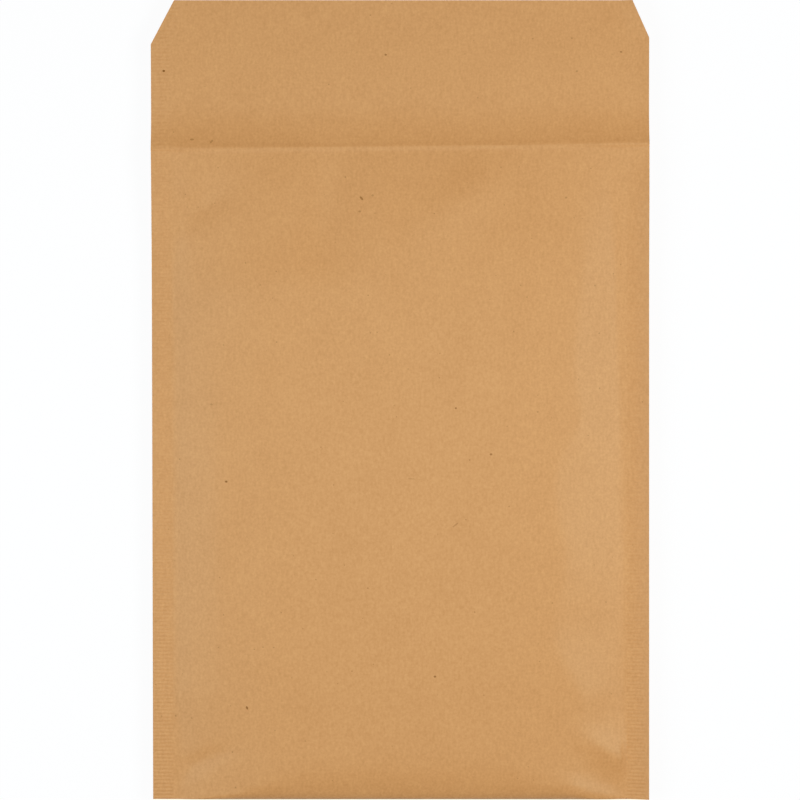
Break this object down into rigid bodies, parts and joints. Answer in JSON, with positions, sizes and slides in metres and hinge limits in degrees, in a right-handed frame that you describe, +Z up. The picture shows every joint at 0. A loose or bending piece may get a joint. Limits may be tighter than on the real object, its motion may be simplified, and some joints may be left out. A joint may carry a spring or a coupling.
{
  "type": "padded envelope",
  "caption": "Kraft paper mailing envelope with a bubble film lining, sealed sides, a folded bottom and an opened closing flap with a peel and seal strip beneath it.",
  "frame": {"origin": "under the middle of the outline, flap included, on the surface that the back panel lies on", "axes": "+X to the right as seen from above, +Y from the bottom fold to the flap's tip, +Z up out of the plain front panel"},
  "size_m": [0.17, 0.273, 0.011],
  "materials": {
    "kraft_paper": "brown machine glazed kraft, faint sheen",
    "bubble_film": "clear polyethylene film with air bubbles",
    "adhesive": "tacky hot melt adhesive",
    "release_paper": "white silicone coated paper"
  },
  "bodies": {
    "root": {"kraft_envelope": "kraft_paper", "bubble_lining": "bubble_film", "adhesive_strip": "adhesive", "release_liner": "release_paper"}
  },
  "joints": []
}
